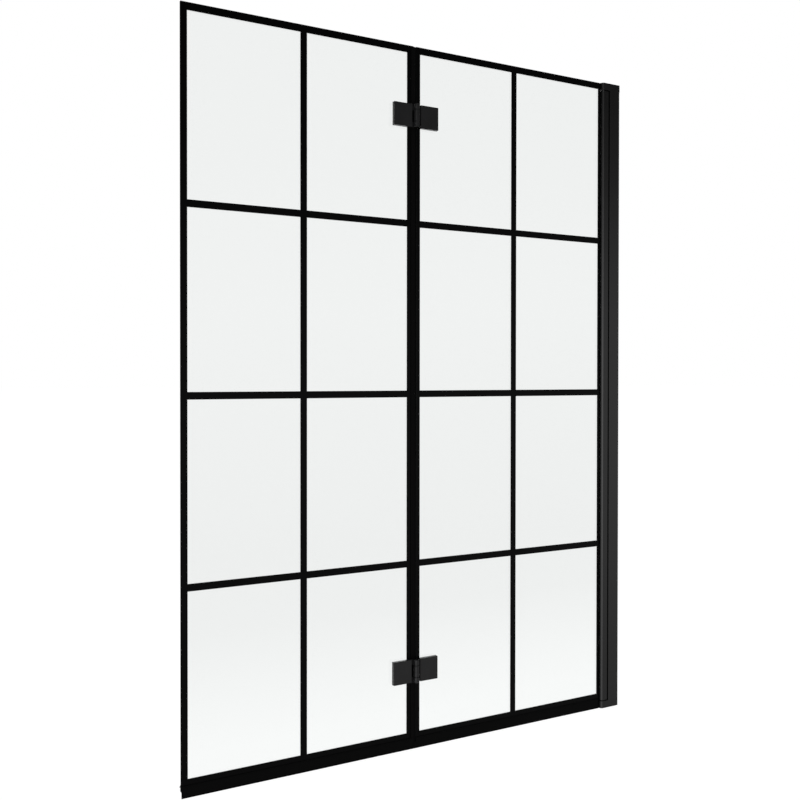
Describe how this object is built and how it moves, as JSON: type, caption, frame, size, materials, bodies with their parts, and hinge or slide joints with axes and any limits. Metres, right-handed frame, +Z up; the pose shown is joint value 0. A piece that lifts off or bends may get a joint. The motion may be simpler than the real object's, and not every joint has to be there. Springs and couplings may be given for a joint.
{
  "type": "bath screen",
  "caption": "Folding bath screen: clear glass wings with a black printed grid, joined by barrel hinges and swinging on a pivot tube held in a wall profile.",
  "frame": {"origin": "foot of the wall channel's back face, in the middle of its width, at the height of the bath rim", "axes": "+X into the wall, the wings reach towards -X; -Y is the room side and +Y the bath side; +Z up"},
  "size_m": [1, 0.0311, 1.4],
  "materials": {
    "black_profile": "matt black powder coat on extruded aluminium",
    "black_hinge": "matt black coat on cast metal",
    "black_screw": "blackened steel",
    "steel": "stainless steel, ground",
    "black_plastic": "fine grained black moulding",
    "bearing_plastic": "black bearing plastic",
    "hinge_pad": "thin black pad",
    "seal": "soft black extruded seal",
    "glass": "clear toughened glass",
    "grid_print": "black enamel fired into the glass, glossy"
  },
  "bodies": {
    "wall_frame": {"wall_channel": "black_profile", "carrier_profile": "black_profile", "carrier_screws": "steel", "carrier_screw_caps": "black_plastic", "top_cap": "black_plastic", "bottom_cap": "black_plastic", "top_cap_screws": "black_screw", "bottom_cap_screws": "black_screw", "top_pivot_pin": "steel", "bottom_pivot_pin": "steel", "thrust_washer": "bearing_plastic"},
    "wall_wing": {"pivot_tube": "black_profile", "top_tube_plug": "black_plastic", "bottom_tube_plug": "black_plastic", "glazing_gaskets": "seal", "wall_glass": "glass", "wall_grid_print": "grid_print", "wall_bottom_seal": "seal", "upper_wall_leaf": "black_hinge", "upper_wall_back_plate": "black_hinge", "upper_wall_gaskets": "hinge_pad", "upper_wall_sleeves": "bearing_plastic", "upper_wall_screws": "black_screw", "upper_hinge_bushes": "bearing_plastic", "lower_wall_leaf": "black_hinge", "lower_wall_back_plate": "black_hinge", "lower_wall_gaskets": "hinge_pad", "lower_wall_sleeves": "bearing_plastic", "lower_wall_screws": "black_screw", "lower_hinge_bushes": "bearing_plastic"},
    "outer_wing": {"outer_glass": "glass", "outer_grid_print": "grid_print", "outer_bottom_seal": "seal", "joint_seal": "seal", "upper_outer_leaf": "black_hinge", "upper_outer_back_plate": "black_hinge", "upper_outer_gaskets": "hinge_pad", "upper_outer_sleeves": "bearing_plastic", "upper_outer_screws": "black_screw", "upper_hinge_pin": "black_screw", "lower_outer_leaf": "black_hinge", "lower_outer_back_plate": "black_hinge", "lower_outer_gaskets": "hinge_pad", "lower_outer_sleeves": "bearing_plastic", "lower_outer_screws": "black_screw", "lower_hinge_pin": "black_screw"}
  },
  "joints": [
    {"name": "wall_pivot", "type": "hinge", "parent": "wall_frame", "child": "wall_wing", "pos_m": [-0.0391, 0, 0.7], "axis": [0, 0, 1], "range_deg": [-90, 90]},
    {"name": "fold_hinge", "type": "hinge", "parent": "wall_wing", "child": "outer_wing", "pos_m": [-0.528, -0.01105, 0.7], "axis": [0, 0, 1], "range_deg": [0, 180]}
  ]
}
